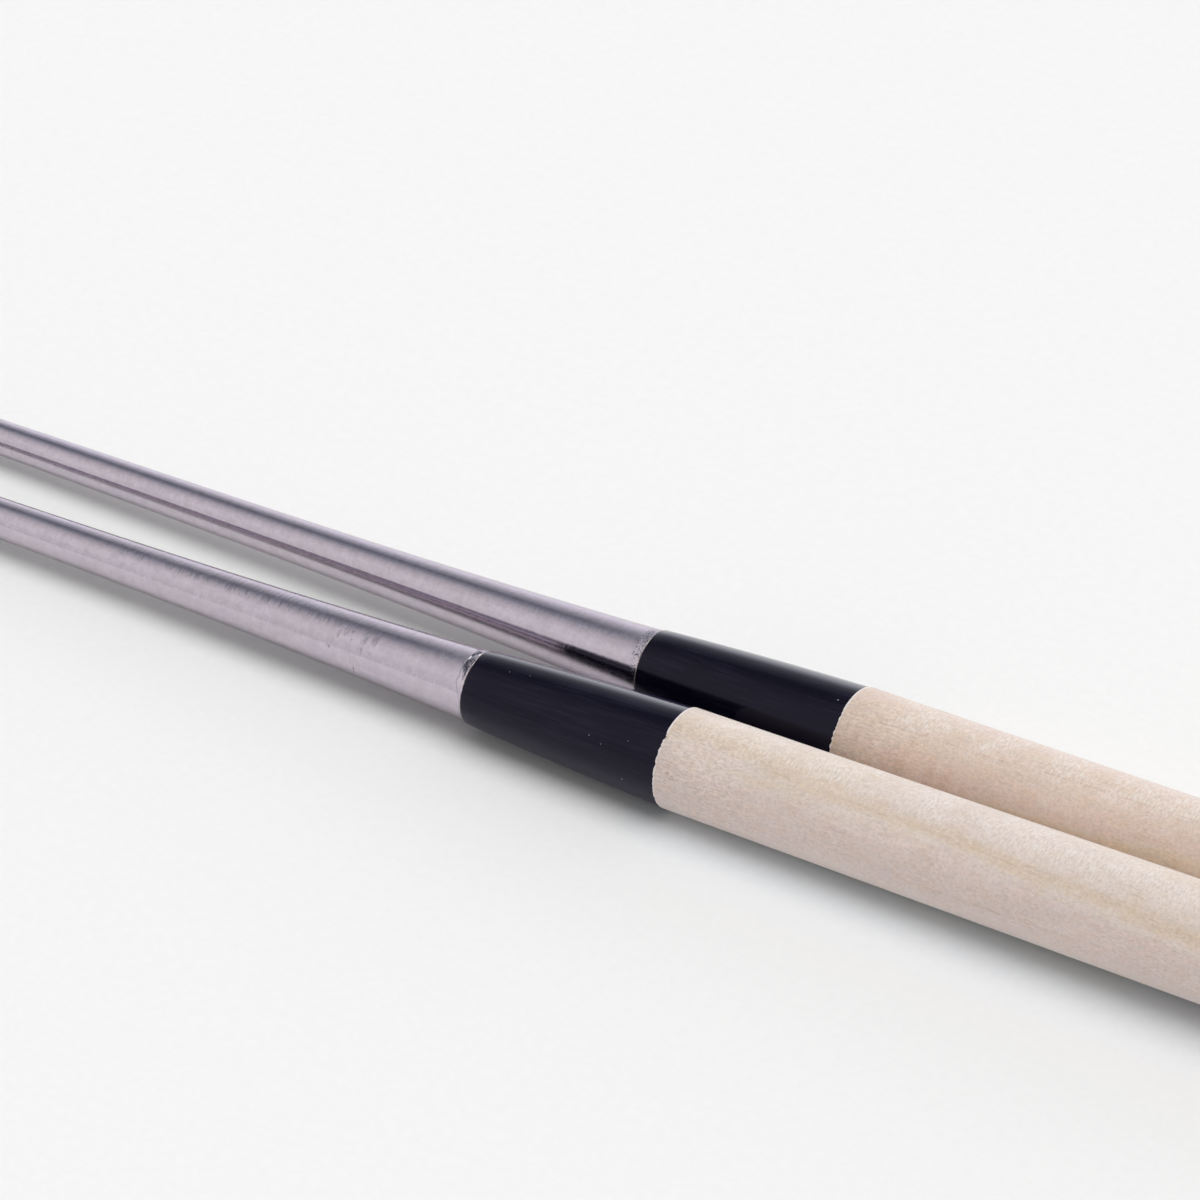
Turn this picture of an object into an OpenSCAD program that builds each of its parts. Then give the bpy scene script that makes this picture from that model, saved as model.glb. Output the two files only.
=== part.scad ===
// Pair of plating chopsticks: tapered metal rods set through horn ferrules into wooden handles.
// The sticks lie side by side. Each one rests on the front edge of its handle and on its tip.
// Millimetres. +X runs towards the butts, +Z is up, and the table is at z = 0.

/* [Handle] */
// Length of the wooden handle
handle_len = 96; // [70:1:130]
// Diameter of the handle where it meets the ferrule
handle_front_d = 11.1; // [10.4:0.1:12]
// Diameter of the handle at its butt end
handle_butt_d = 12.4; // [12:0.1:14]
// Eased edge round the butt face
butt_ease = 0.9; // [0.4:0.1:1.5]
// Eased edge round the handle's front face
front_ease = 0.15; // [0.05:0.05:0.3]

/* [Ferrule] */
// Length of the horn ferrule
ferrule_len = 24.6; // [16:0.2:36]
// Diameter of the ferrule where it meets the handle
ferrule_rear_d = 10.96; // [10:0.02:11.2]
// Diameter of the ferrule where it meets the rod
ferrule_front_d = 8.24; // [8.1:0.02:9.4]
// How far the ferrule's side stands out beyond a straight taper
ferrule_swell = 0.11; // [0:0.01:0.3]
// Eased edge round the ferrule's front face
ferrule_ease = 0.12; // [0.05:0.01:0.2]

/* [Rod] */
// Length of the metal rod in front of the ferrule
rod_len = 165; // [120:1:220]
// Diameter of the rod's shoulder, against the ferrule
shoulder_d = 7.96; // [7:0.02:8]
// Length of the flare, from the shoulder to where the straight taper begins
flare_len = 60; // [30:1:90]
// Diameter of the rod where the flare ends
neck_d = 4.54; // [3.4:0.02:5.4]
// How fast the flare falls away from the shoulder
flare_power = 2.2; // [1.6:0.1:3]
// Diameter of the rounded tip
tip_d = 2; // [1.4:0.1:3]
// Diameter of the tang that holds the rod in the handle
tang_d = 4; // [3:0.1:5]
// Depth of the tang in the wooden handle
tang_depth = 40; // [20:1:60]

/* [Fit] */
// Room for glue round the tang, on each side
tang_clearance = 0.05; // [0.02:0.01:0.15]
// Room for glue behind the tang's end
tang_end_gap = 0.5; // [0.2:0.1:1.5]

/* [Pair] */
// How far the rear stick lies towards the butts of the two
stagger = 13.5; // [0:0.5:30]
// Angle by which the rear stick's rod leads away from the front one
fan_angle = 0.3; // [0:0.1:3]
// Gap between the handles at the front stick's butt
handle_gap = 0.3; // [0.2:0.1:4]

/* [Hidden] */
$fn = 128;
flare_steps = 20;
swell_steps = 10;
tip_steps = 8;

handle_front_r = handle_front_d / 2;
handle_butt_r = handle_butt_d / 2;
ferrule_rear_r = ferrule_rear_d / 2;
ferrule_front_r = ferrule_front_d / 2;
shoulder_r = shoulder_d / 2;
neck_r = neck_d / 2;
tip_r = tip_d / 2;
tang_r = tang_d / 2;
bore_r = tang_r + tang_clearance;
tip_centre = rod_len - tip_r;

// Along a stick, x = 0 is where the handle meets the ferrule.
rod_start = -ferrule_len;
tip_x = rod_start - tip_centre;

// The stick rests on its tip and on the handle's front edge, so its axis drops towards the tip.
rest_reach = front_ease - tip_x;
rest_tilt = atan(handle_front_r / rest_reach) - asin(tip_r / norm([handle_front_r, rest_reach]));
rest_height = handle_front_r * cos(rest_tilt) - front_ease * sin(rest_tilt);

// Room beside the front handle, taken at its butt, where the two handles come closest.
beside_x = handle_len - stagger;
spread = handle_butt_r + handle_r(beside_x) + handle_gap + beside_x * tan(fan_angle);

// The whole pair's box, so that the origin lies below its middle.
axis_x = cos(fan_angle) * cos(rest_tilt);
axis_y = -sin(fan_angle) * cos(rest_tilt);
butt_face_r = handle_butt_r - butt_ease;
x_low = min(tip_x * cos(rest_tilt), stagger + tip_x * axis_x) - tip_r;
x_high = stagger + handle_len * axis_x + butt_face_r * sqrt(1 - axis_x * axis_x);
y_low = -handle_butt_r;
y_high = spread + max(
    tip_x * axis_y + tip_r,
    (handle_len - butt_ease) * axis_y + handle_butt_r * sqrt(1 - axis_y * axis_y),
    front_ease * axis_y + handle_front_r * sqrt(1 - axis_y * axis_y)
);
middle = [(x_low + x_high) / 2, (y_low + y_high) / 2, 0];

metal_colour = [0.74, 0.71, 0.74];
horn_colour = [0.09, 0.09, 0.13];
wood_colour = [0.88, 0.80, 0.72];

// Radius of the handle at a distance behind its front face.
function handle_r(x) = handle_front_r + (handle_butt_r - handle_front_r) * x / handle_len;

// Radius of the ferrule at a share of its length, from the rod (0) to the handle (1).
function ferrule_r(share) =
    ferrule_front_r + (ferrule_rear_r - ferrule_front_r) * share + 4 * ferrule_swell * share * (1 - share);

// Radius of the rod's straight taper at a distance in front of the ferrule.
function taper_r(s) = tip_r + (neck_r - tip_r) * (tip_centre - s) / (tip_centre - flare_len);

// Radius of the rod's flare at a distance in front of the ferrule.
function flare_r(s) = taper_r(s) + (shoulder_r - taper_r(0)) * pow(1 - s / flare_len, flare_power);

// Turns a profile of [radius, distance towards the butt] points about the stick's axis.
module turned(profile) {
    rotate([0, 90, 0])
        rotate_extrude()
            polygon(profile);
}

// Hole for the tang, from the ferrule's front face to its end in the wood.
module tang_bore() {
    translate([rod_start - 1, 0, 0])
        rotate([0, 90, 0])
            cylinder(h = 1 + ferrule_len + tang_depth + tang_end_gap, r = bore_r);
}

// Metal rod: rounded tip, straight taper, flare, shoulder and tang, all in one piece.
module rod() {
    tip = [for (i = [0 : tip_steps]) let (a = 90 * i / tip_steps) [tip_r * sin(a), tip_x - tip_r * cos(a)]];
    flare = [for (i = [flare_steps : -1 : 0]) let (s = flare_len * i / flare_steps) [flare_r(s), rod_start - s]];
    tang = [
        [tang_r, rod_start],
        [tang_r, tang_depth],
        [0, tang_depth]
    ];
    color(metal_colour)
        turned(concat(tip, flare, tang));
}

// Horn ferrule: a sleeve that is slightly full in the middle of its taper.
module ferrule() {
    side = [for (i = [0 : swell_steps])
        let (x = ferrule_ease + (ferrule_len - ferrule_ease) * i / swell_steps)
        [ferrule_r(x / ferrule_len), rod_start + x]];
    color(horn_colour)
        difference() {
            turned(concat([[0, rod_start], [ferrule_front_r - ferrule_ease, rod_start]], side, [[0, 0]]));
            tang_bore();
        }
}

// Wooden handle: a turned piece that widens to its butt, drilled for the tang.
module handle() {
    profile = [
        [0, 0],
        [handle_front_r - front_ease, 0],
        [handle_front_r, front_ease],
        [handle_butt_r, handle_len - butt_ease],
        [handle_butt_r - butt_ease * 0.3, handle_len - butt_ease * 0.3],
        [butt_face_r, handle_len],
        [0, handle_len]
    ];
    color(wood_colour)
        difference() {
            turned(profile);
            tang_bore();
        }
}

// Lays the front stick on the table.
module at_front() {
    translate([0, 0, rest_height] - middle)
        rotate([0, -rest_tilt, 0])
            children();
}

// Lays the rear stick beside it.
module at_rear() {
    translate([stagger, spread, rest_height] - middle)
        rotate([0, -rest_tilt, -fan_angle])
            children();
}

module front_rod() {
    at_front() rod();
}

module front_ferrule() {
    at_front() ferrule();
}

module front_handle() {
    at_front() handle();
}

module rear_rod() {
    at_rear() rod();
}

module rear_ferrule() {
    at_rear() ferrule();
}

module rear_handle() {
    at_rear() handle();
}

front_rod();
front_ferrule();
front_handle();
rear_rod();
rear_ferrule();
rear_handle();
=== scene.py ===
"""Pair of plating chopsticks: tapered metal rods set through horn ferrules into wooden handles.

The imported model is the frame. Each turned part is replaced by a finely turned mesh on the same
axis and with the same sizes, and dressed in its own finish. Lengths are in millimetres, as in the
part's source, until a finished mesh is scaled to metres and laid in its place.

Along a stick, 0 is where the handle meets the ferrule, and the butt is on the positive side. Round a
stick, in degrees, 0 faces the front and up, and 90 faces the back and up.
"""
import logging
import math
import random
from collections.abc import Sequence
from dataclasses import dataclass, field
from enum import Enum
from typing import Any, ClassVar

import bmesh
import bpy
from mathutils import Euler, Matrix, Vector


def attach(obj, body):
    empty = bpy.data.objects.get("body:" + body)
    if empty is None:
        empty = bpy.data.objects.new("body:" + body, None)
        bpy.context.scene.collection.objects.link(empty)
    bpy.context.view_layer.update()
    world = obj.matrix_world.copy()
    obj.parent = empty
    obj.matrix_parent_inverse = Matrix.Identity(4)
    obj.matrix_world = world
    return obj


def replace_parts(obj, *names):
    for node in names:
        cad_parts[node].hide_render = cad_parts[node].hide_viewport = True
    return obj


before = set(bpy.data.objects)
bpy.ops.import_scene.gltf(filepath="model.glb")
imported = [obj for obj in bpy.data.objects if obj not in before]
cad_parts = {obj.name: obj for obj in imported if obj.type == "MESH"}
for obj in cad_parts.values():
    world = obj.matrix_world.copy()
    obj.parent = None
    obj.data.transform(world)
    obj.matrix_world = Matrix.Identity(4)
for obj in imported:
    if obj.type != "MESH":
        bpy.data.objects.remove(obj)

LOG = logging.getLogger("chopsticks")
MM = 0.001
BODY = "root"

# Sizes that more than one piece or finish needs
FERRULE_LENGTH = 24.6
SHOULDER = 3.98
BORE = 2.05
TANG_DEPTH = 40.0

# Where a stick's angles start, in degrees from its own +Y over its +Z
FACING_DEG = 140.4
# Points of a turned mesh that are nearer than this are one point
NEAR = 1e-4
# Edges that turn by more than this stay sharp
SHARP_DEG = 32.0
# The range that holds most of a noise's values
EVEN = (0.3, 0.7)
# How a pattern's seed moves it along each axis
SEED_PATH = (1.0, 0.7, -0.4)

Colour = tuple[float, float, float]
Point = tuple[float, float]
Span = tuple[float, float, float]
Mesh = bmesh.types.BMesh
Socket = bpy.types.NodeSocket
Inputs = dict[int | str, Any]
Value = Socket | float


class Slot(Enum):
    """The record's material slots."""

    METAL = "metal"
    HORN = "horn"
    WOOD = "wood"


# Node graphs


class Graph:
    """Puts nodes into a material's or the world's tree and joins them in few words."""

    def __init__(self, tree: bpy.types.NodeTree) -> None:
        """Starts on a node tree, which is emptied."""
        self.tree = tree
        tree.nodes.clear()

    def node(self, kind: str, inputs: Inputs | None = None, **settings: Any) -> bpy.types.Node:
        """Adds a node. Each input is linked, or set where its value is plain.

        Args:
            kind: the node's type name.
            inputs: output sockets, numbers or colours for its inputs, by name or number.
            settings: properties to set on it.

        Returns:
            The new node.
        """
        made = self.tree.nodes.new(kind)
        for name, value in settings.items():
            setattr(made, name, value)
        for name, value in (inputs or {}).items():
            socket = made.inputs[name]
            if isinstance(value, bpy.types.NodeSocket):
                self.tree.links.new(value, socket)
            else:
                socket.default_value = (*value, 1.0) if socket.type == "RGBA" else value
        return made

    def shader(self, inputs: Inputs) -> None:
        """Ends a material's graph with one shader."""
        made = self.node("ShaderNodeBsdfPrincipled", inputs)
        self.node("ShaderNodeOutputMaterial", {"Surface": made.outputs[0]})

    def math(self, operation: str, first: Value, *more: Value) -> Value:
        """Takes values through Math nodes, one after the other.

        Args:
            operation: the nodes' operation.
            first: the first value.
            more: the values that it is joined with, if any.

        Returns:
            The result's socket.
        """
        for value in more or (0.0,):
            first = self.node("ShaderNodeMath", {0: first, 1: value}, operation=operation).outputs[0]
        return first

    def product(self, *values: Value) -> Value:
        """Multiplies values."""
        return self.math("MULTIPLY", *values)

    def total(self, *values: Value) -> Value:
        """Adds values."""
        return self.math("ADD", *values)

    def less(self, first: Value, second: Value) -> Value:
        """Takes the second value from the first."""
        return self.math("SUBTRACT", first, second)

    def most(self, *values: Value) -> Value:
        """Gives the greatest of the values."""
        return self.math("MAXIMUM", *values)

    def ease(self, value: Value, low: float, high: float, start: float = 0.0, end: float = 1.0) -> Socket:
        """Runs smoothly from start to end while the value runs from low to high."""
        inputs = {"Value": value, "From Min": low, "From Max": high, "To Min": start, "To Max": end}
        return self.node("ShaderNodeMapRange", inputs, interpolation_type="SMOOTHSTEP", clamp=True).outputs[0]

    def span(self, value: Value, rise: Point, fall: Point) -> Value:
        """Gives 1 where a value is past one range and short of another, and eases through both."""
        return self.product(self.ease(value, *rise), self.ease(value, *fall, 1.0, 0.0))

    def window(self, value: Value, low: float, high: float, soft: float) -> Socket:
        """Gives 1 between two values and fades softly to 0 outside them."""
        away = self.math("ABSOLUTE", self.less(value, (high + low) / 2))
        return self.ease(away, max((high - low - soft) / 2, 0.0), (high - low + soft) / 2, 1.0, 0.0)

    def mix(self, share: Value, low: Any, high: Any, blend: str = "MIX") -> Socket:
        """Mixes two colours, 0 giving the first and 1 the second, through the node's colour sockets."""
        settings = {"data_type": "RGBA", "blend_type": blend, "clamp_factor": True}
        return self.node("ShaderNodeMix", {0: share, 6: low, 7: high}, **settings).outputs[2]

    def shade(self, colour: Any, value: Value) -> Socket:
        """Multiplies a colour by a number."""
        return self.node("ShaderNodeVectorMath", {0: colour, "Scale": value}, operation="SCALE").outputs[0]

    def moved(self, vector: Socket, factor: Span, offset: Any) -> Socket:
        """Multiplies a vector by another and adds a third."""
        inputs = {0: vector, 1: factor, 2: offset}
        return self.node("ShaderNodeVectorMath", inputs, operation="MULTIPLY_ADD").outputs[0]

    def noise(self, vector: Socket, scale: float, detail: float = 2.0, rough: float = 0.5) -> Socket:
        """Adds a noise, about 0.5 in the middle, with its octaves and the share of the finer ones."""
        inputs = {"Vector": vector, "Scale": scale, "Detail": detail, "Roughness": rough}
        return self.node("ShaderNodeTexNoise", inputs).outputs[0]

    def ramp(self, value: Value, stops: Sequence[tuple[float, Colour]], mode: str = "EASE") -> Socket:
        """Adds a colour ramp.

        Args:
            value: where the ramp is read, from 0 to 1.
            stops: places with their colours, in order.
            mode: how it runs from stop to stop.

        Returns:
            The colour's socket.
        """
        made = self.node("ShaderNodeValToRGB", {0: value})
        made.color_ramp.interpolation = mode
        while len(made.color_ramp.elements) < len(stops):
            made.color_ramp.elements.new(1.0)
        for element, (place, colour) in zip(made.color_ramp.elements, stops):
            element.position = place
            element.color = (*colour, 1.0)
        return made.outputs[0]

    def curve(self, value: Value, stops: Sequence[Point]) -> Socket:
        """Adds a line that runs straight from level to level, all between 0 and 1."""
        return self.ramp(value, [(place, (level, level, level)) for place, level in stops], "LINEAR")

    def relief(self, *layers: tuple[Value, float, float]) -> Socket:
        """Lays bumps over one another.

        Args:
            layers: the height pattern of each, how high its 1 stands in metres, and its strength.

        Returns:
            The normal's socket.
        """
        normal: Inputs = {}
        for height, distance, strength in layers:
            inputs = {"Height": height, "Distance": distance, "Strength": strength} | normal
            normal = {"Normal": self.node("ShaderNodeBump", inputs).outputs[0]}
        return normal["Normal"]


# Placing


@dataclass(frozen=True)
class Lie:
    """How a stick lies: where its handle's front face is centred, and how its axis is turned."""

    origin: tuple[float, float, float]
    tilt_deg: float
    fan_deg: float

    def matrix(self) -> Matrix:
        """Takes a stick's own millimetres to the row frame in metres."""
        turn = Euler((0.0, -math.radians(self.tilt_deg), -math.radians(self.fan_deg)), "XYZ")
        return Matrix.Translation(Vector(self.origin) * MM) @ turn.to_matrix().to_4x4() @ Matrix.Scale(MM, 4)


@dataclass(frozen=True)
class Mark:
    """A small mark on a turned surface: its place along and round the stick, and its half sizes."""

    along: float
    angle_deg: float
    length: float
    width: float


class Skin(Graph):
    """A finish's graph, with the stick's own coordinates: along it, across it, and the angle round it."""

    def __init__(self, tree: bpy.types.NodeTree, lie: Lie, seed: float) -> None:
        """Adds the coordinate nodes.

        Args:
            tree: the material's node tree.
            lie: the stick that the finish is for.
            seed: moves all the finish's patterns to another place.
        """
        super().__init__(tree)
        self.seed = seed
        turn = (FACING_DEG, -lie.tilt_deg, -lie.fan_deg)
        inputs = {
            "Vector": self.node("ShaderNodeTexCoord").outputs["Object"],
            "Location": Vector(lie.origin) * MM,
            "Rotation": [math.radians(angle) for angle in turn],
            "Scale": (MM, MM, -MM),
        }
        self.place: Socket = self.node("ShaderNodeMapping", inputs, vector_type="TEXTURE").outputs[0]
        self.along, self.face, self.lift = self.node("ShaderNodeSeparateXYZ", {0: self.place}).outputs
        self.angle: Value = self.math("DEGREES", self.math("ARCTAN2", self.lift, self.face))

    def side(self, angles: Span) -> Socket:
        """Masks one side of the stick: the angles from one to another, and how far they fade."""
        return self.window(self.angle, *angles)

    def bent(self, scale: float, amount: float) -> Socket:
        """Bends the coordinates gently, so that a stretched pattern doesn't run dead straight."""
        bends = self.node("ShaderNodeTexNoise", {"Vector": self.place, "Scale": scale}).outputs["Color"]
        return self.moved(bends, (amount, amount, amount), self.place)

    def grain(
        self,
        along: float,
        across: float,
        shift: float,
        detail: float = 2.0,
        rough: float = 0.5,
        place: Socket | None = None,
    ) -> Socket:
        """Adds a noise that is stretched along the stick or across it.

        Args:
            along: its frequency along the stick.
            across: its frequency on the other two axes.
            shift: added to the seed.
            detail: its octaves.
            rough: the share of the finer octaves.
            place: other coordinates than the stick's own.

        Returns:
            The noise's socket, about 0.5 in the middle.
        """
        offset = tuple((self.seed + shift) * step for step in SEED_PATH)
        stretched = self.moved(self.place if place is None else place, (along, across, across), offset)
        return self.noise(stretched, 1.0, detail, rough)

    def mark(self, mark: Mark, radius: float, soft: float = 0.5) -> Socket:
        """Masks one small mark.

        Args:
            mark: its place and half sizes.
            radius: the surface's radius there.
            soft: the share of its size over which it fades.

        Returns:
            The mask's socket.
        """
        along = self.math("DIVIDE", self.less(self.along, mark.along), mark.length)
        arc = math.radians(1.0) * radius / mark.width
        across = self.product(self.less(self.angle, mark.angle_deg), arc)
        square = self.total(self.product(along, along), self.product(across, across))
        return self.ease(square, 1.0 - soft, 1.0 + soft, 1.0, 0.0)

    def marks(self, marks: Sequence[Mark], radius: float, soft: float = 0.5, start: Value = 0.0) -> Value:
        """Masks several small marks at once, added to the mask that it starts with."""
        return self.most(start, *(self.mark(mark, radius, soft) for mark in marks))


# Finishes


@dataclass(frozen=True)
class Finish:
    """What the finishes share: a material on the stick's own coordinates."""

    seed: float = 1.0

    def inputs(self, skin: Skin) -> Inputs:
        """Gives the shader's inputs, in each finish's own way."""
        raise NotImplementedError

    def make(self, name: str, lie: Lie) -> bpy.types.Material:
        """Makes the material for one piece.

        Args:
            name: the material's name.
            lie: the stick that it is for.

        Returns:
            The material.
        """
        material = bpy.data.materials.new(name)
        material.use_nodes = True
        skin = Skin(material.node_tree, lie, self.seed)
        skin.shader(self.inputs(skin))
        return material


@dataclass(frozen=True)
class FiledRing:
    """The filed ring of the rod against its ferrule: its width, its pits and lip, and what lies on it."""

    width: float = 1.1
    pits: float = 0.25
    lip: float = 0.55
    light: float = 0.6
    dull: float = 0.0
    patches: tuple[Mark, ...] = ()
    flakes: tuple[Mark, ...] = ()


@dataclass(frozen=True)
class MetalFinish(Finish):
    """Satin lavender-grey metal with a fine grain, cross scratches, scuffs and a filed ring.

    Over the torn length, cross scratches fray the dark reflection, with painted reflection at its two edges.
    """

    colour: Colour = (0.575, 0.505, 0.565)
    film_colour: Colour = (0.50, 0.45, 0.53)
    # dark of scratches, scuffs and the lip, also used for painted dark reflection strokes
    scratch_and_reflection_colour: Colour = (0.15, 0.15, 0.19)
    # light of flakes and sparks, also used for painted light reflection strokes
    bright_colour: Colour = (0.86, 0.80, 0.86)
    ring_dark: Colour = (0.045, 0.045, 0.065)
    ring_light: Colour = (0.66, 0.59, 0.66)
    roughness: float = 0.125
    ring: FiledRing = field(default_factory=FiledRing)
    ring_side: Span = (-22.0, 90.0, 50.0)
    dull_side: Span = (6.0, 62.0, 26.0)
    pitted_side: Span = (2.0, 66.0, 20.0)
    scuffs: tuple[Mark, ...] = ()
    scuff_radius: float = 3.3
    scuff_depth: float = 0.50
    torn: Span = (-72.0, -38.0, 14.0)
    torn_depth: float = 1.0
    # angles where dark and light strokes are painted along the dark reflection's edges: painted reflection
    dark_reflection_edge: Span = (18.0, 34.0, 18.0)
    light_reflection_edge: Span = (34.0, 48.0, 12.0)
    worn_side: Span = (0.0, 60.0, 40.0)
    seed: float = 3.0

    def inputs(self, skin: Skin) -> Inputs:
        """Gives the rod's shader inputs.

        Args:
            skin: the rod's graph and coordinates.

        Returns:
            The inputs by name.
        """
        grain = skin.grain(1.5, 1.9, 2, 5.0, 0.66)
        cloud = skin.grain(0.12, 0.35, 5, 3.0)
        polish = skin.grain(0.05, 3.0, 0, 3.0, 0.55)
        bent = skin.bent(0.5, 0.5)
        drift = skin.grain(0.9, 0.9, 21, 2.0, 0.6, bent)
        cross = skin.grain(3.6, 0.42, 9, 3.0, 0.6, bent)
        shade = skin.total(
            skin.ease(grain, *EVEN, 0.950, 1.040),
            skin.ease(cloud, *EVEN, -0.04, 0.03),
            skin.ease(polish, *EVEN, -0.006, 0.005),
            skin.ease(drift, 0.34, 0.66, -0.040, 0.032),
            skin.ease(cross, *EVEN, -0.022, 0.020),
        )
        colour = skin.mix(skin.ease(cloud, 0.42, 0.66, 0.0, 0.5), self.colour, self.film_colour)
        near_ferrule = skin.ease(skin.along, -40.0, -28.0, 0.0, 0.45)
        torn = skin.product(skin.most(skin.window(skin.along, *self.torn), near_ferrule), self.torn_depth)
        # Painted reflection: dark strokes at the dark reflection band's lower edge and light strokes inside
        # it
        dark = skin.product(torn, skin.side(self.dark_reflection_edge), skin.ease(cross, 0.50, 0.64), 0.42)
        colour = skin.mix(dark, skin.shade(colour, shade), self.scratch_and_reflection_colour)
        bright = skin.product(torn, skin.side(self.light_reflection_edge), skin.ease(cross, 0.46, 0.36), 0.22)
        colour = skin.mix(bright, colour, self.bright_colour)
        scuff = self._scuffs(skin)
        colour = skin.mix(skin.product(scuff, self.scuff_depth), colour, self.scratch_and_reflection_colour)
        colour, ring, chips, flakes = self._ring(skin, colour)
        worn = skin.product(skin.ease(skin.along, -34.0, -26.0), skin.side(self.worn_side))
        roughness = skin.total(
            skin.ease(grain, *EVEN, self.roughness - 0.03, self.roughness + 0.03),
            skin.product(worn, 0.15),
            skin.product(torn, 0.04),
            skin.product(scuff, 0.20),
            skin.product(ring, skin.ease(skin.angle, -12.0, 8.0, 0.03, 0.15)),
        )
        strokes = skin.product(cross, skin.total(0.06, skin.product(torn, 0.94)))
        pits = skin.product(chips, ring)
        return {
            "Base Color": colour,
            "Roughness": roughness,
            "Metallic": skin.less(1.0, flakes) if self.ring.flakes else 1.0,
            "Normal": skin.relief((strokes, 60e-6, 0.8), (pits, 50e-6, 0.7), (grain, 9e-6, 0.5)),
        }

    def _scuffs(self, skin: Skin) -> Value:
        """Masks the scuffs, each a few ragged strokes across the rod."""
        hatch = skin.grain(4.2, 0.9, 13, 3.0, 0.65)
        return skin.product(skin.marks(self.scuffs, self.scuff_radius, 0.9), skin.ease(hatch, 0.36, 0.60))

    def _ring(self, skin: Skin, colour: Socket) -> tuple[Socket, Socket, Socket, Value]:
        """Files the ring against the ferrule: thin lines round it, pits, and dark patches.

        Args:
            skin: the rod's graph and coordinates.
            colour: the colour so far.

        Returns:
            The colour's socket, the ring's mask, the pits' pattern and the mask of loose flakes.
        """
        ring = self.ring
        wander = skin.grain(0.0, 0.45, 15, 3.0, 0.6)
        reach = skin.total(skin.side(self.ring_side), skin.ease(wander, *EVEN, -0.16, 0.16))
        start = skin.less(-FERRULE_LENGTH, skin.product(skin.most(reach, 0.3), ring.width))
        along = skin.less(skin.along, start)
        mask = skin.ease(along, -0.08, 0.12)
        rounds = skin.grain(6.0, 0.30, 7)
        chips = skin.grain(5.4, 5.4, 8, 1.0)
        filed = skin.mix(skin.ease(rounds, 0.36, 0.60), self.film_colour, self.ring_light)
        colour = skin.mix(skin.product(mask, ring.light), colour, filed)
        dull = skin.product(skin.ease(along, -0.30, 0.60), skin.side(self.dull_side), ring.dull)
        colour = skin.mix(dull, colour, self.scratch_and_reflection_colour)
        sparks = skin.product(dull, skin.ease(chips, 0.42, 0.34))
        colour = skin.mix(sparks, colour, self.bright_colour)
        broken = skin.ease(rounds, 0.35, 0.6, 0.3, 1.0)
        lip = skin.product(skin.window(along, -0.02, 0.10, 0.10), broken, ring.lip)
        colour = skin.mix(lip, colour, self.scratch_and_reflection_colour)
        first = 0.640 - 0.060 * ring.pits
        specks = skin.product(
            mask,
            skin.ease(chips, first, first + 0.06),
            skin.side(self.pitted_side),
            min(0.9, 0.3 + ring.pits),
        )
        colour = skin.mix(specks, colour, self.ring_dark)
        ragged = skin.ease(chips, 0.36, 0.52, 0.45, 1.0)
        for patch in ring.patches:
            shape = skin.product(skin.mark(patch, SHOULDER, 0.7), ragged, 0.92)
            colour = skin.mix(shape, colour, self.ring_dark)
        flakes = skin.marks(ring.flakes, SHOULDER, 0.7)
        return skin.mix(flakes, colour, self.bright_colour), mask, chips, flakes


@dataclass(frozen=True)
class HornFinish(Finish):
    """Polished near-black horn with a blue-violet depth, faint lengthwise fibres and dust specks."""

    colour: Colour = (0.0012, 0.0011, 0.0042)
    fibre_colour: Colour = (0.0078, 0.0070, 0.0152)
    dust_colour: Colour = (0.30, 0.29, 0.32)
    tint: Colour = (0.66, 0.62, 0.86)
    bloom_tint: Colour = (0.40, 0.24, 1.0)
    roughness: float = 0.15
    bloom: float = 0.05
    rubbed: float = 1.0
    rubbed_side: Span = (60.0, 130.0, 14.0)
    dusty_side: Span = (18.0, 52.0, 16.0)
    specks: tuple[Mark, ...] = ()
    speck_radius: float = 5.0

    def inputs(self, skin: Skin) -> Inputs:
        """Gives the ferrule's shader inputs.

        Args:
            skin: the ferrule's graph and coordinates.

        Returns:
            The inputs by name.
        """
        fibres = skin.grain(0.07, 3.2, 0, 3.0, 0.60)
        depth = skin.grain(0.10, 0.5, 3, 3.0)
        hazy = skin.grain(2.2, 2.2, 8, 3.0, 0.6)
        share = skin.product(skin.ease(fibres, 0.40, 0.70), skin.ease(depth, 0.35, 0.65, 0.15, 1.0))
        dust = skin.ease(skin.grain(5.5, 5.5, 6, 1.0), 0.70, 0.80, 0.0, 0.06)
        settled = skin.product(dust, skin.side(self.dusty_side))
        speckle = skin.marks(self.specks, self.speck_radius, start=settled)
        colour = skin.mix(share, self.colour, self.fibre_colour)
        roughness = skin.total(
            skin.ease(fibres, *EVEN, self.roughness - 0.02, self.roughness + 0.02),
            skin.ease(hazy, 0.45, 0.75, 0.0, 0.05),
            skin.product(speckle, 0.3),
        )
        return {
            "Base Color": skin.mix(speckle, colour, self.dust_colour),
            "Roughness": roughness,
            "IOR": 1.36,
            "Specular Tint": self.tint,
            "Sheen Weight": self.bloom,
            "Sheen Tint": self.bloom_tint,
            "Coat Weight": skin.product(skin.side(self.rubbed_side), self.rubbed),
            "Coat IOR": 1.42,
            "Coat Roughness": 0.10,
            "Normal": skin.relief((fibres, 8e-6, 0.4), (hazy, 6e-6, 0.3)),
        }


@dataclass(frozen=True)
class GrainLine:
    """A line of late wood that runs nearly along the handle."""

    lift: float
    slope: float
    start: float
    end: float
    width: float
    depth: float


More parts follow.
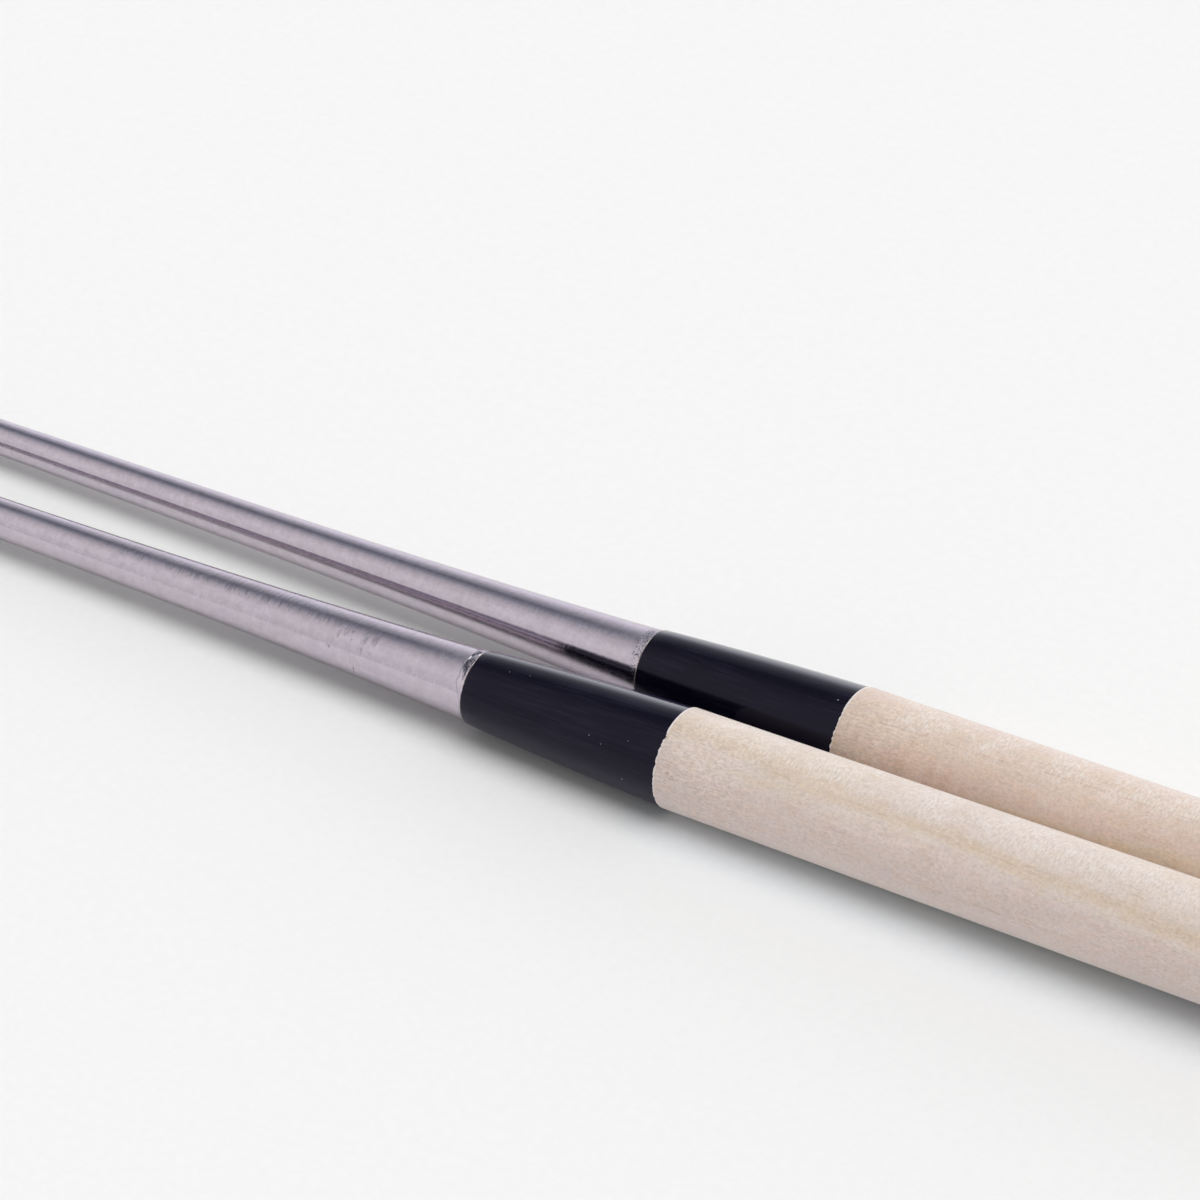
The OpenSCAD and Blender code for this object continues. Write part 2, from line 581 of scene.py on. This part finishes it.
@dataclass(frozen=True)
class WoodFinish(Finish):
    """Pale, close-grained wood, sanded crosswise on the lathe and left bare.

    Hairs stand up across the brushed side, which is the lit top, where they are lightened as a painted
    highlight; fibres run along the drawn side, and ribs are an area of curly grain.
    """

    colour: Colour = (0.738, 0.63, 0.572)
    pink: Colour = (0.723, 0.593, 0.551)
    yellow: Colour = (0.728, 0.598, 0.488)
    warm_tint: Colour = (1.0, 0.968, 0.918)
    line_colour: Colour = (0.58, 0.43, 0.29)
    pore_colour: Colour = (0.36, 0.26, 0.21)
    rim_colour: Colour = (0.86, 0.80, 0.79)
    # whitish colour of raised hairs on the lit top: a painted highlight
    hair_highlight_colour: Colour = (0.87, 0.805, 0.765)
    nap_tint: Colour = (1.0, 0.98, 0.97)
    roughness: float = 0.54
    nap: float = 0.5
    # the lit top, where the hairs are real but their lightening is a painted highlight
    brushed_lit_side: Span = (24.0, 92.0, 36.0)
    brushed_length: Span = (3.25, 92.5, 5.5)
    drawn_side: Span = (-80.0, 52.0, 22.0)
    drawn_length: Span = (-2.0, 12.0, 8.0)
    ring_lean: float = 0.030
    ring_turn_deg: float = 20.0
    lines: tuple[GrainLine, ...] = ()
    flecks: tuple[Mark, ...] = ()
    fleck_radius: float = 5.6
    fleck_depth: float = 0.45
    ribs: tuple[Span, Span] | None = None

    def inputs(self, skin: Skin) -> Inputs:
        """Gives the handle's shader inputs.

        Args:
            skin: the handle's graph and coordinates.

        Returns:
            The inputs by name.
        """
        colour, lines = self._figure(skin)
        bent = skin.bent(0.7, 0.55)
        hairs = skin.grain(5.0, 1.5, 9, 3.0, 0.6, bent)
        fibre = skin.grain(1.5, 5.4, 12, 3.0, 0.65, bent)
        mottle = skin.grain(2.5, 3.2, 2, 4.0, 0.74)
        patches = skin.grain(0.22, 0.30, 16, 2.0, 0.6)
        blotch = skin.grain(0.10, 0.28, 4, 3.0, 0.6)
        tone = skin.grain(0.55, 0.9, 6, 4.0, 0.66, bent)
        brushed = skin.product(
            skin.side(self.brushed_lit_side),
            skin.window(skin.along, *self.brushed_length),
            skin.ease(patches, 0.34, 0.56, 0.35, 1.0),
        )
        brushed = skin.most(brushed, skin.ease(patches, 0.50, 0.66, 0.06, 0.30))
        drawn = skin.product(skin.side(self.drawn_side), skin.window(skin.along, *self.drawn_length))
        drawn = skin.most(drawn, skin.ease(patches, 0.54, 0.40, 0.30, 0.62))
        shade = skin.total(
            1.0,
            skin.product(skin.ease(hairs, 0.36, 0.60, -0.022, 0.020), brushed),
            skin.product(skin.ease(fibre, 0.34, 0.66, -0.120, 0.100), drawn),
            skin.ease(mottle, 0.32, 0.68, -0.098, 0.070),
            skin.ease(blotch, *EVEN, -0.030, 0.022),
        )
        colour = skin.mix(skin.ease(tone, 0.44, 0.62), skin.shade(colour, shade), self.warm_tint, "MULTIPLY")
        # Painted highlight: raised hairs on the lit top are lightened towards a whitish colour
        raised_hair_highlight = skin.product(skin.ease(hairs, 0.40, 0.66, 0.10, 0.72), brushed)
        colour = skin.mix(raised_hair_highlight, colour, self.hair_highlight_colour)
        pores = skin.grain(0.6, 6.0, 14)
        pore = skin.product(skin.ease(pores, 0.66, 0.76), skin.ease(blotch, 0.42, 0.6, 0.10, 0.55))
        colour = skin.mix(pore, colour, self.pore_colour)
        for fleck in self.flecks:
            spot = skin.product(skin.mark(fleck, self.fleck_radius, 0.9), self.fleck_depth)
            colour = skin.mix(spot, colour, self.pore_colour)
        rim = skin.product(skin.ease(skin.along, 0.34, 0.20), skin.ease(mottle, 0.32, 0.55, 0.55, 0.95))
        roughness = skin.ease(mottle, *EVEN, self.roughness - 0.05, self.roughness + 0.05)
        relief = skin.relief(
            (skin.product(hairs, brushed), 45e-6, 0.7),
            (mottle, 55e-6, 0.6),
            (skin.product(fibre, drawn), 40e-6, 0.6),
            (skin.less(1.0, skin.most(pore, skin.product(lines, 0.3))), 50e-6, 0.6),
        )
        return {
            "Base Color": skin.mix(rim, colour, self.rim_colour),
            "Roughness": skin.total(roughness, skin.product(pore, 0.1)),
            "Specular IOR Level": 0.40,
            "Sheen Weight": self.nap,
            "Sheen Tint": self.nap_tint,
            "Normal": relief,
        }

    def _figure(self, skin: Skin) -> tuple[Socket, Value]:
        """Lays down the broad colour bands, the lines of late wood and the ribs.

        Args:
            skin: the handle's graph and coordinates.

        Returns:
            The colour's socket and the lines' mask.
        """
        turn = math.radians(self.ring_turn_deg)
        wave = skin.grain(0.035, 0.22, 1)
        depth = skin.total(
            skin.product(skin.lift, math.cos(turn)),
            skin.product(skin.face, math.sin(turn)),
            skin.product(skin.along, self.ring_lean),
            skin.ease(wave, 0.2, 0.8, -1.3, 1.3),
        )
        inputs = {0: depth, 1: skin.product(skin.along, 0.006), 2: self.seed}
        layer = skin.node("ShaderNodeCombineXYZ", inputs).outputs[0]
        broad = skin.noise(layer, 0.42)
        close = skin.noise(layer, 2.3, 3.0, 0.6)
        colour = skin.mix(skin.ease(broad, 0.42, 0.60), self.pink, self.colour)
        colour = skin.mix(skin.ease(broad, 0.56, 0.68, 0.0, 0.75), colour, self.yellow)
        colour = skin.shade(colour, skin.ease(close, *EVEN, 0.975, 1.02))
        ridge = skin.math("ABSOLUTE", skin.less(close, 0.5))
        breaks = skin.grain(0.35, 1.2, 6, 3.0, 0.65)
        lines = skin.product(skin.ease(ridge, 0.0, 0.05, 0.16, 0.0), skin.ease(breaks, 0.42, 0.60))
        for line in self.lines:
            level = skin.less(skin.lift, skin.product(skin.along, line.slope))
            level = skin.total(level, skin.ease(wave, *EVEN, -0.25, 0.25))
            mask = skin.product(
                skin.window(level, line.lift - line.width / 2, line.lift + line.width / 2, line.width),
                skin.window(skin.along, line.start, line.end, 6.0),
                skin.ease(skin.face, 0.0, 1.0),
                skin.ease(breaks, 0.38, 0.56, 0.25, 1.0),
                line.depth,
            )
            lines = skin.most(lines, mask)
        colour = skin.mix(lines, colour, self.line_colour)
        if self.ribs is not None:
            length, side = self.ribs
            curl = skin.ease(skin.grain(0.75, 0.12, 20, 1.0), 0.45, 0.62)
            mask = skin.product(skin.window(skin.along, *length), skin.side(side), curl, 0.4)
            colour = skin.mix(mask, colour, self.line_colour)
        return colour, lines


@dataclass(frozen=True)
class GlueFinish(Finish):
    """Dried beige glue at the ferrule's front edge, with cream lumps."""

    colour: Colour = (0.27, 0.215, 0.20)
    lump_colour: Colour = (0.82, 0.73, 0.66)
    roughness: float = 0.45
    seed: float = 2.0

    def inputs(self, skin: Skin) -> Inputs:
        """Gives the glue line's shader inputs.

        Args:
            skin: the glue's graph and coordinates.

        Returns:
            The inputs by name.
        """
        lumps = skin.grain(1.6, 1.6, 0, 3.0, 0.6)
        return {
            "Base Color": skin.mix(skin.ease(lumps, 0.47, 0.62), self.colour, self.lump_colour),
            "Roughness": skin.ease(lumps, *EVEN, self.roughness + 0.1, self.roughness - 0.1),
            "Normal": skin.relief((lumps, 40e-6, 0.6)),
        }


# Turned parts


def turned(profile: Sequence[Point], segments: int, closed: bool = False) -> Mesh:
    """Spins a chain of points about the stick's axis.

    Args:
        profile: (distance along, radius) points in order.
        segments: how many steps make the full turn.
        closed: whether the last point joins the first, as on a sleeve.

    Returns:
        The turned mesh, with its faces outwards.
    """
    bm = bmesh.new()
    chain = [bm.verts.new((along, 0.0, radius)) for along, radius in profile]
    pairs = zip(chain, chain[1:] + (chain[:1] if closed else []))
    edges = [bm.edges.new(pair) for pair in pairs]
    bmesh.ops.spin(
        bm,
        geom=chain + edges,
        cent=(0.0, 0.0, 0.0),
        axis=(1.0, 0.0, 0.0),
        angle=2 * math.pi,
        steps=segments,
        use_merge=True,
    )
    bmesh.ops.remove_doubles(bm, verts=bm.verts, dist=NEAR)
    bmesh.ops.recalc_face_normals(bm, faces=bm.faces)
    return bm


def ease_ring(bm: Mesh, along: float, radius: float, offset: float, segments: int) -> None:
    """Rounds the edge that runs round a turned mesh at one place.

    Args:
        bm: the turned mesh.
        along: where the edge is along the axis.
        radius: its radius.
        offset: how far the rounding reaches to each side.
        segments: how many steps the rounding has.
    """
    def on_ring(vert: bmesh.types.BMVert) -> bool:
        """Says whether a vertex lies on the edge."""
        return abs(vert.co.x - along) < NEAR and abs(math.hypot(vert.co.y, vert.co.z) - radius) < 10 * NEAR

    bmesh.ops.bevel(
        bm,
        geom=[edge for edge in bm.edges if all(on_ring(vert) for vert in edge.verts)],
        offset=offset,
        affect="EDGES",
        segments=segments,
        profile=0.5,
        material=-1,
        clamp_overlap=True,
    )


@dataclass(frozen=True)
class TurnedPart:
    """What the turned parts share: a mesh about the stick's axis, laid in its place and dressed."""

    slot: ClassVar[Slot]

    def mesh(self) -> Mesh:
        """Turns the part in the stick's own millimetres, in each part's own way."""
        raise NotImplementedError

    def build(self, name: str, lie: Lie, finish: Finish) -> bpy.types.Object:
        """Makes the part a piece of the model.

        Args:
            name: the piece's name.
            lie: where the stick lies.
            finish: its finish.

        Returns:
            The piece.
        """
        bm = self.mesh()
        bmesh.ops.transform(bm, matrix=lie.matrix(), verts=bm.verts)
        mesh = bpy.data.meshes.new(name)
        bm.to_mesh(mesh)
        bm.free()
        mesh.polygons.foreach_set("use_smooth", [True] * len(mesh.polygons))
        mesh.set_sharp_from_angle(angle=math.radians(SHARP_DEG))
        mesh.materials.append(finish.make(f"{name}_finish", lie))
        piece = bpy.data.objects.new(name, mesh)
        bpy.context.scene.collection.objects.link(piece)
        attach(piece, BODY)
        LOG.info("%s: %d vertices, %d faces", name, len(mesh.vertices), len(mesh.polygons))
        return piece


@dataclass(frozen=True)
class Ferrule(TurnedPart):
    """The horn ferrule: a sleeve that is slightly full in its taper.

    A thin collar behind it closes the view under the wood's frayed edge.
    """

    slot = Slot.HORN
    rear_radius: float = 5.48
    front_radius: float = 4.12
    swell: float = 0.11
    ease: float = 0.12
    collar: float = 0.28
    collar_depth: float = 0.05
    collar_taper: float = 0.01
    segments: int = 192
    steps: int = 16
    ease_steps: int = 4

    def radius(self, share: float) -> float:
        """Gives the radius at a share of the length, from the rod (0) to the handle (1)."""
        straight = self.front_radius + (self.rear_radius - self.front_radius) * share
        return straight + 4 * self.swell * share * (1 - share)

    def mesh(self) -> Mesh:
        """Turns the ferrule.

        Returns:
            Its mesh.
        """
        shares = [i / self.steps for i in range(self.steps + 1)]
        side = [(-FERRULE_LENGTH * (1 - share), self.radius(share)) for share in shares]
        inner = self.rear_radius - self.collar_depth
        collar = [(self.collar, self.rear_radius - self.collar_taper), (self.collar, inner), (0.0, inner)]
        bm = turned([(-FERRULE_LENGTH, BORE), *side, *collar, (0.0, BORE)], self.segments, closed=True)
        ease_ring(bm, -FERRULE_LENGTH, self.front_radius, self.ease, self.ease_steps)
        return bm


@dataclass(frozen=True)
class Rod(TurnedPart):
    """The metal rod: rounded tip, straight taper, flare, shoulder and tang in one piece."""

    slot = Slot.METAL
    length: float = 165.0
    shoulder_ease: float = 0.03
    flare: float = 60.0
    neck: float = 2.27
    power: float = 2.2
    tip: float = 1.0
    tang: float = 2.0
    segments: int = 288
    flare_steps: int = 48
    taper_steps: int = 20
    tip_steps: int = 12
    ease_steps: int = 2

    def taper_radius(self, ahead: float) -> float:
        """Gives the straight taper's radius at a distance ahead of the ferrule."""
        reach = self.length - self.tip
        return self.tip + (self.neck - self.tip) * (reach - ahead) / (reach - self.flare)

    def radius(self, ahead: float) -> float:
        """Gives the rod's radius at a distance ahead of the ferrule."""
        share = max(0.0, 1 - ahead / self.flare)
        return self.taper_radius(ahead) + (SHOULDER - self.taper_radius(0.0)) * share**self.power

    def mesh(self) -> Mesh:
        """Turns the rod.

        Returns:
            Its mesh.
        """
        start = -FERRULE_LENGTH
        reach = self.length - self.tip
        tang = [(TANG_DEPTH, 0.0), (TANG_DEPTH, self.tang), (start, self.tang)]
        flare = [self.flare * i / self.flare_steps for i in range(self.flare_steps + 1)]
        taper = [self.flare + (reach - self.flare) * i / self.taper_steps for i in range(1, self.taper_steps)]
        side = [(start - ahead, self.radius(ahead)) for ahead in flare + taper]
        quarter = [math.pi / 2 * i / self.tip_steps for i in range(self.tip_steps)]
        end = [(start - reach - self.tip * math.sin(a), self.tip * math.cos(a)) for a in quarter]
        bm = turned([*tang, *side, *end, (start - self.length, 0.0)], self.segments)
        ease_ring(bm, start, SHOULDER, self.shoulder_ease, self.ease_steps)
        return bm


@dataclass(frozen=True)
class Handle(TurnedPart):
    """The wooden handle: a turned piece that widens to its butt, drilled for the tang.

    Its front edge is frayed into short teeth, fewer from neat_from_deg on, and may have a notch.
    """

    slot = Slot.WOOD
    length: float = 96.0
    front_radius: float = 5.55
    butt_radius: float = 6.20
    front_ease: float = 0.15
    front_ease_steps: int = 3
    butt_ease: float = 0.90
    butt_ease_steps: int = 6
    bore_end_gap: float = 0.5
    face_rings: tuple[float, ...] = (0.8, 0.5, 0.2)
    segments: int = 432
    steps: int = 20
    fray: float = 0.15
    fray_power: float = 1.6
    tooth_steps: int = 3
    neat_from_deg: float = 24.0
    neat_share: float = 0.15
    notch: Mark | None = None
    seed: int = 11

    def mesh(self) -> Mesh:
        """Turns the handle and frays its front edge.

        Returns:
            Its mesh.
        """
        slope = (self.butt_radius - self.front_radius) / self.length
        places = [self.length * i / self.steps for i in range(self.steps + 1)]
        side = [(place, self.front_radius + slope * place) for place in places]
        bore_end = TANG_DEPTH + self.bore_end_gap
        hole = [(bore_end, 0.0), (bore_end, BORE), (0.0, BORE), (0.0, self.front_radius * self.face_rings[0])]
        butt = [(self.length, self.butt_radius * share) for share in self.face_rings]
        bm = turned([*hole, *side, *butt, (self.length, 0.0)], self.segments)
        ease_ring(bm, 0.0, self.front_radius, self.front_ease, self.front_ease_steps)
        ease_ring(bm, self.length, self.butt_radius, self.butt_ease, self.butt_ease_steps)
        self._fray_edge(bm)
        return bm

    def _fray_edge(self, bm: Mesh) -> None:
        """Breaks the front edge up into the short teeth that sawn wood has.

        Args:
            bm: the turned handle.
        """
        draw = random.Random(self.seed)
        count = self.segments // self.tooth_steps
        teeth = [draw.random() ** self.fray_power * self.fray for _ in range(count)]
        last_along = self.front_ease * 1.2
        least_radius = self.front_radius - self.front_ease * 0.95
        for vert in bm.verts:
            radius = math.hypot(vert.co.y, vert.co.z)
            if vert.co.x > last_along or radius < least_radius:
                continue
            angle = math.atan2(vert.co.z, vert.co.y)
            turn = angle / (2 * math.pi) * count
            step = math.floor(turn)
            share = turn - step
            back = teeth[step % count] * (1 - share) + teeth[(step + 1) % count] * share
            facing = (FACING_DEG - math.degrees(angle) + 180) % 360 - 180
            if facing > self.neat_from_deg:
                back *= self.neat_share
            if self.notch is not None:
                off = math.radians(facing - self.notch.angle_deg) * radius / self.notch.width
                back += self.notch.length * max(0.0, 1 - off * off)
            vert.co.x += back


@dataclass(frozen=True)
class GlueLine(TurnedPart):
    """The uneven bead of glue that has squeezed out in front of the ferrule."""

    slot = Slot.HORN
    ahead: float = 0.06
    radius: float = 3.99
    half_length: float = 0.06
    half_height: float = 0.065
    smallest: float = 0.45
    sides: int = 8
    segments: int = 160
    seed: int = 5

    def mesh(self) -> Mesh:
        """Turns the bead and makes it uneven.

        Returns:
            Its mesh.
        """
        along = -FERRULE_LENGTH - self.ahead
        corners = [2 * math.pi * i / self.sides for i in range(self.sides)]
        length, height = self.half_length, self.half_height
        loop = [(along + length * math.cos(a), self.radius + height * math.sin(a)) for a in corners]
        bm = turned(loop, self.segments, closed=True)
        draw = random.Random(self.seed)
        lumps = [draw.uniform(self.smallest, 1.0) for _ in range(self.segments)]
        lumps = [(lumps[i - 1] + lump + lumps[(i + 1) % self.segments]) / 3 for i, lump in enumerate(lumps)]
        for vert in bm.verts:
            angle = math.atan2(vert.co.z, vert.co.y)
            size = lumps[round(angle / (2 * math.pi) * self.segments) % self.segments]
            middle = Vector((along, self.radius * math.cos(angle), self.radius * math.sin(angle)))
            vert.co = middle + (vert.co - middle) * size
        return bm


@dataclass(frozen=True)
class Chopstick:
    """One stick: rod, ferrule, handle and the glue line between rod and ferrule."""

    name: str
    lie: Lie
    metal: MetalFinish
    horn: HornFinish
    wood: WoodFinish
    rod: Rod = field(default_factory=Rod)
    ferrule: Ferrule = field(default_factory=Ferrule)
    handle: Handle = field(default_factory=Handle)
    glue: GlueLine = field(default_factory=GlueLine)

    def build(self) -> None:
        """Builds the stick's pieces in place of its CAD nodes."""
        rod, ferrule, handle = (self.rod, self.metal), (self.ferrule, self.horn), (self.handle, self.wood)
        for kind, (part, finish) in {"rod": rod, "ferrule": ferrule, "handle": handle}.items():
            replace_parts(part.build(f"{self.name}_{kind}_turned", self.lie, finish), f"{self.name}_{kind}")
        self.glue.build(f"{self.name}_glue_line", self.lie, GlueFinish())


# Studio


@dataclass(frozen=True)
class Studio:
    """A plain pale floor, a soft room and one broad lamp behind the sticks.

    The room's tables run by the angle over the sticks, from the front (0) to the back (180). The fill
    is what lights rough surfaces, and the room's colours are what glossy ones show.
    """

    floor_radius_m: float = 3.0
    floor_segments: int = 96
    floor_colour: Colour = (0.90, 0.90, 0.90)
    paper_grain: float = 900.0
    by_wood: Colour = (0.93, 1.0, 1.052)
    by_metal: Colour = (0.978, 1.0, 0.978)
    beside_m: tuple[Point, Point] = ((-0.024, -0.008), (0.004, 0.012))
    metal_m: tuple[Point, Point] = ((-0.12, -0.04), (0.012, 0.020))
    wood_m: tuple[Point, Point] = ((0.034, 0.044), (0.104, 0.126))
    backdrop: Colour = (0.93, 0.93, 0.93)
    lamp_from: tuple[float, float, float] = (0.50, 0.01, 0.866)
    lamp_angle_deg: float = 46.0
    lamp_strength: float = 2.30
    fill_top: float = 2.0
    fill: tuple[Point, ...] = (
        (0.0, 0.84), (20.0, 0.50), (40.0, 0.42), (60.0, 0.36), (80.0, 0.03),
        (100.0, 0.06), (120.0, 0.56), (140.0, 0.56), (160.0, 1.42), (180.0, 1.74),
    )
    room: tuple[tuple[float, Colour], ...] = (
        (0.0, (0.78, 0.78, 0.78)), (20.0, (0.84, 0.84, 0.84)), (40.0, (0.92, 0.92, 0.92)),
        (56.0, (0.90, 0.90, 0.90)), (71.0, (0.79, 0.79, 0.79)), (88.0, (0.59, 0.60, 0.62)),
        (103.0, (0.32, 0.35, 0.39)), (116.0, (0.19, 0.21, 0.25)), (133.0, (0.42, 0.45, 0.49)),
        (150.0, (0.75, 0.77, 0.81)), (165.0, (1.00, 1.02, 1.10)), (180.0, (1.06, 1.09, 1.18)),
    )

    def build(self) -> None:
        """Builds the floor, the room and the lamp."""
        for make in (self._floor, self._room, self._lamp):
            make()

    def _floor(self) -> None:
        """Lays a wide round floor under the sticks."""
        bm = bmesh.new()
        bmesh.ops.create_circle(
            bm, cap_ends=True, cap_tris=False, segments=self.floor_segments, radius=self.floor_radius_m
        )
        mesh = bpy.data.meshes.new("floor")
        bm.to_mesh(mesh)
        bm.free()
        floor = bpy.data.objects.new("floor", mesh)
        bpy.context.scene.collection.objects.link(floor)
        material = bpy.data.materials.new("floor_paper")
        material.use_nodes = True
        graph = Graph(material.node_tree)
        place = graph.node("ShaderNodeTexCoord").outputs["Object"]
        fibre = graph.noise(place, self.paper_grain, 3.0, 0.6)
        colour = graph.shade(self.floor_colour, graph.ease(fibre, *EVEN, 0.988, 1.006))
        inputs = {
            "Base Color": graph.mix(1.0, colour, self._evened(graph, place), "MULTIPLY"),
            "Roughness": 1.0,
            "Specular IOR Level": 0.0,
            "Normal": graph.relief((fibre, 40e-6, 0.5)),
        }
        graph.shader(inputs)
        mesh.materials.append(material)

    def _evened(self, graph: Graph, place: Socket) -> Socket:
        """Tints the floor faintly beside the sticks, so that their coloured bounce leaves its shadow grey.

        Args:
            graph: the floor's graph.
            place: the floor's coordinates, in metres.

        Returns:
            The tint's socket.
        """
        along, across, _ = graph.node("ShaderNodeSeparateXYZ", {0: place}).outputs
        near = graph.product(graph.ease(across, *self.beside_m[0]), graph.span(across, *self.beside_m))
        metal = graph.product(near, graph.span(along, *self.metal_m))
        wood = graph.product(near, graph.span(along, *self.wood_m))
        return graph.mix(wood, graph.mix(metal, (1.0, 1.0, 1.0), self.by_metal), self.by_wood)

    def _room(self) -> None:
        """Gives the room its light, and a plain backdrop where the camera looks past the floor."""
        world = bpy.data.worlds.new("room")
        bpy.context.scene.world = world
        world.use_nodes = True
        graph = Graph(world.node_tree)
        direction = graph.node("ShaderNodeTexCoord").outputs["Generated"]
        parts = graph.node("ShaderNodeSeparateXYZ", {0: direction}).outputs
        height = graph.math("ARCTAN2", parts[2], graph.product(parts[1], -1.0))
        share = graph.math("DIVIDE", graph.math("DEGREES", height), 180.0)
        seen = graph.ramp(share, [(angle / 180.0, colour) for angle, colour in self.room])
        levels = graph.curve(share, [(angle / 180.0, level / self.fill_top) for angle, level in self.fill])
        rays = graph.node("ShaderNodeLightPath").outputs
        first = graph.math("LESS_THAN", rays["Diffuse Depth"], 0.5)
        glossy = graph.product(rays["Is Glossy Ray"], first)
        light = graph.mix(glossy, graph.product(levels, self.fill_top), seen)
        colour = graph.mix(rays["Is Camera Ray"], light, self.backdrop)
        background = graph.node("ShaderNodeBackground", {"Color": colour})
        graph.node("ShaderNodeOutputWorld", {"Surface": background.outputs[0]})

    def _lamp(self) -> None:
        """Hangs the broad lamp."""
        lamp = bpy.data.lights.new("soft_lamp", "SUN")
        lamp.energy = self.lamp_strength
        lamp.angle = math.radians(self.lamp_angle_deg)
        holder = bpy.data.objects.new("soft_lamp", lamp)
        holder.rotation_mode = "QUATERNION"
        holder.rotation_quaternion = Vector(self.lamp_from).to_track_quat("Z", "Y")
        bpy.context.scene.collection.objects.link(holder)


@dataclass(frozen=True)
class Camera:
    """The photograph's viewpoint."""

    place: tuple[float, float, float] = (347.126, -522.733, 449.277)
    azimuth_deg: float = 31.5475
    elevation_deg: float = 35.1919
    roll_deg: float = 0.6586
    lens: float = 214.713
    sensor: float = 36.0
    clip_m: Point = (0.01, 20.0)

    def build(self) -> None:
        """Sets the camera up."""
        azimuth, elevation, roll = map(math.radians, (self.azimuth_deg, self.elevation_deg, self.roll_deg))
        flat = math.cos(elevation)
        back = Vector((math.sin(azimuth) * flat, -math.cos(azimuth) * flat, math.sin(elevation)))
        level = Vector((math.cos(azimuth), math.sin(azimuth), 0.0))
        right = level * math.cos(roll) + back.cross(level) * math.sin(roll)
        turn = Matrix((right, back.cross(right), back)).transposed()
        data = bpy.data.cameras.new("camera")
        data.lens = self.lens
        data.sensor_width = self.sensor
        data.clip_start, data.clip_end = self.clip_m
        camera = bpy.data.objects.new("camera", data)
        camera.matrix_world = Matrix.Translation(Vector(self.place) * MM) @ turn.to_4x4()
        bpy.context.scene.collection.objects.link(camera)
        bpy.context.scene.camera = camera
        bpy.context.scene.view_settings.view_transform = "Standard"


# The pair

# The tilt and height at which the source rests a stick on its handle's front edge and its tip
TILT_DEG = 1.3808143
JOINT_HEIGHT = 5.5458

FRONT = Chopstick(
    name="front",
    lie=Lie((39.971866, -6.271343, JOINT_HEIGHT), TILT_DEG, 0.0),
    metal=MetalFinish(
        ring=FiledRing(
            patches=(
                Mark(-25.04, 31.0, 0.42, 0.90), Mark(-25.48, 30.0, 0.10, 0.75), Mark(-25.2, 20.0, 0.18, 0.55),
                Mark(-24.95, 12.0, 0.14, 0.70), Mark(-25.20, 60.0, 0.30, 0.55), Mark(-25.42, 50.0, 0.16, 0.4),
            ),
            flakes=(Mark(-25.50, 42.5, 0.08, 0.32), Mark(-24.84, 55.0, 0.10, 0.22)),
        ),
        scuffs=(
            Mark(-41.4, 31.0, 0.22, 0.75), Mark(-41.1, 10.0, 0.20, 0.55), Mark(-40.3, 17.0, 0.25, 0.60),
            Mark(-39.6, 20.0, 0.16, 0.22), Mark(-41.9, -21.0, 0.24, 0.22), Mark(-41.6, -8.0, 0.12, 0.40),
            Mark(-39.4, 2.0, 0.14, 0.25), Mark(-37.9, 16.0, 0.42, 0.75), Mark(-36.6, 18.0, 0.40, 0.70),
            Mark(-37.4, 34.0, 0.90, 0.50), Mark(-37.9, -9.0, 0.26, 0.34), Mark(-36.7, -8.0, 0.12, 0.18),
            Mark(-38.6, -46.0, 0.14, 0.75), Mark(-39.0, -32.0, 0.10, 0.35),
        ),
    ),
    horn=HornFinish(
        specks=(
            Mark(-20.2, 36.1, 0.06, 0.05), Mark(-17.8, 39.4, 0.05, 0.04), Mark(-8.3, -9.6, 0.06, 0.05),
            Mark(-6.7, -14.8, 0.05, 0.05), Mark(-3.7, -1.0, 0.05, 0.04), Mark(-3.8, -49.5, 0.09, 0.06),
        )
    ),
    wood=WoodFinish(
        lines=(
            GrainLine(2.95, -0.021, -3.0, 38.0, 1.30, 0.24),
            GrainLine(2.35, -0.021, -2.0, 46.0, 0.75, 0.22),
            GrainLine(4.90, -0.075, 34.0, 68.0, 1.10, 0.28),
            GrainLine(2.05, -0.021, 4.0, 60.0, 0.16, 0.42),
            GrainLine(3.10, -0.045, 26.0, 66.0, 0.26, 0.45),
            GrainLine(-4.4, 0.010, 30.0, 60.0, 0.18, 0.35),
        ),
        flecks=(
            Mark(2.10, -25.5, 0.10, 0.13), Mark(2.30, -22.0, 0.13, 0.10), Mark(2.45, -24.8, 0.07, 0.12),
            Mark(1.75, -20.0, 0.25, 0.22), Mark(0.42, 15.8, 0.16, 0.24),
        ),
    ),
    handle=Handle(notch=Mark(0.0, 15.8, 0.20, 0.30)),
)
REAR = Chopstick(
    name="rear",
    lie=Lie((53.471866, 6.769224, JOINT_HEIGHT), TILT_DEG, 0.3),
    metal=MetalFinish(
        ring=FiledRing(width=1.2, pits=1.0, lip=0.12, light=0.30, dull=0.34),
        scuffs=(Mark(-57.3, 42.6, 0.30, 0.45),),
        torn=(-44.0, -24.0, 14.0),
        torn_depth=0.55,
        seed=31.0,
    ),
    horn=HornFinish(specks=(Mark(-1.1, 34.4, 0.08, 0.07),), rubbed=0.8, seed=17.0),
    wood=WoodFinish(
        colour=(0.735, 0.600, 0.498),
        pink=(0.725, 0.568, 0.488),
        yellow=(0.728, 0.575, 0.435),
        line_colour=(0.60, 0.41, 0.32),
        lines=(GrainLine(2.05, 0.0395, 2.0, 44.0, 0.15, 0.62),),
        ribs=((2.0, 16.0, 8.0), (-60.0, 2.0, 30.0)),
        ring_lean=-0.02,
        ring_turn_deg=-35.0,
        seed=23.0,
    ),
    handle=Handle(seed=29),
    glue=GlueLine(seed=41),
)


def main() -> None:
    """Builds the pair and the studio."""
    logging.basicConfig(level=logging.INFO, format="%(message)s")
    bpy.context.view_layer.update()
    for thing in (FRONT, REAR, Studio(), Camera()):
        thing.build()


if __name__ == "__main__":
    main()
